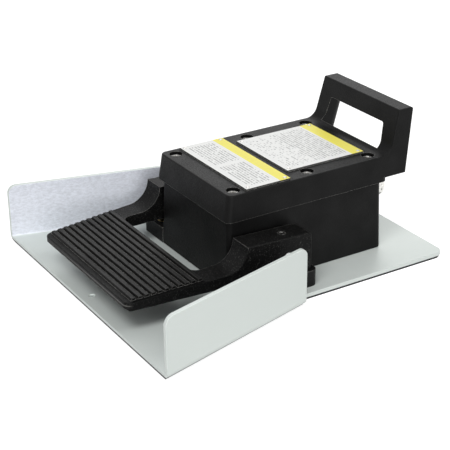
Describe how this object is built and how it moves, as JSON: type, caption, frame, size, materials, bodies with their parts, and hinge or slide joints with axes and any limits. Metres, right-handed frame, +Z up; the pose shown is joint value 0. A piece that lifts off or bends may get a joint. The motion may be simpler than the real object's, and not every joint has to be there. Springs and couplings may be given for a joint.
{
  "type": "foot pedal control",
  "caption": "Heavy floor-standing foot pedal: ridged cast tread on two arms, sprung on a cross shaft through a lidded box with a carrying handle, on a plate with side guards.",
  "frame": {"origin": "on the floor, under the middle of the plate's outline", "axes": "+Z up, +Y from the operator's side to the handle, +X to the operator's right"},
  "size_m": [0.2566, 0.275, 0.1157],
  "materials": {
    "black_casting": "fine textured matte black paint on a casting",
    "plate_steel": "satin light grey sheet metal",
    "black_rubber": "matte black rubber",
    "label_white": "white printed plate with a yellow band, no lettering",
    "screw_steel": "bright plated steel",
    "shaft_steel": "ground steel",
    "bush_bronze": "plain bronze",
    "spring_yellow": "yellow plated spring wire",
    "gear_aluminium": "machined",
    "pinion_brass": "machined",
    "black_plastic": "moulded",
    "red_plastic": "moulded",
    "pale_plastic": "moulded",
    "bracket_zinc": "zinc plated sheet",
    "gland_nickel": "satin nickel plate"
  },
  "bodies": {
    "base": {"base_plate": "plate_steel", "base_screws": "screw_steel", "bracket_screws": "screw_steel", "front_label_plate": "label_white", "gland_body": "gland_nickel", "gland_cap": "gland_nickel", "gland_locknut": "gland_nickel", "gland_seal": "black_rubber", "grip_mat": "black_rubber", "housing": "black_casting", "label_rivets": "screw_steel", "lid": "black_casting", "lid_gasket": "black_rubber", "lid_screws": "screw_steel", "pot_body": "black_plastic", "pot_bracket": "bracket_zinc", "pot_nut": "bracket_zinc", "rear_label_plate": "label_white", "rest_pads": "black_rubber", "return_spring_left": "spring_yellow", "return_spring_right": "spring_yellow", "shaft_bush_left": "bush_bronze", "shaft_bush_right": "bush_bronze", "switch_body": "black_plastic", "switch_bracket": "bracket_zinc", "switch_screws": "screw_steel", "terminal_block": "pale_plastic", "terminal_screws": "screw_steel"},
    "pedal_lever": {"pedal": "black_casting", "cross_shaft": "shaft_steel", "arm_set_screws": "screw_steel", "drive_sector": "gear_aluminium", "sector_set_screw": "screw_steel", "switch_finger": "gear_aluminium", "finger_set_screw": "screw_steel"},
    "pot_rotor": {"pot_spindle": "shaft_steel", "drive_pinion": "pinion_brass"},
    "switch_button": {"switch_plunger": "red_plastic"}
  },
  "joints": [
    {"name": "pedal_press", "type": "hinge", "parent": "base", "child": "pedal_lever", "pos_m": [0, -0.0037, 0.0334], "axis": [1, 0, 0], "range_deg": [0, 7], "stiffness_Nm_per_rad": 9.9, "springref_deg": -17.19, "deforming": ["return_spring_left", "return_spring_right"]},
    {"name": "pot_turn", "type": "hinge", "parent": "base", "child": "pot_rotor", "pos_m": [0.0085, 0.0623, 0.0334], "axis": [1, 0, 0], "range_deg": [-75, 5]},
    {"name": "switch_press", "type": "slide", "parent": "base", "child": "switch_button", "axis": [0, 0, -1], "range_m": [0, 0.0023]}
  ],
  "couplings": [
    {"joint": "pot_turn", "follows": "pedal_press", "ratio": -10},
    {"joint": "switch_press", "follows": "pedal_press", "m_per_rad": 0.018}
  ]
}
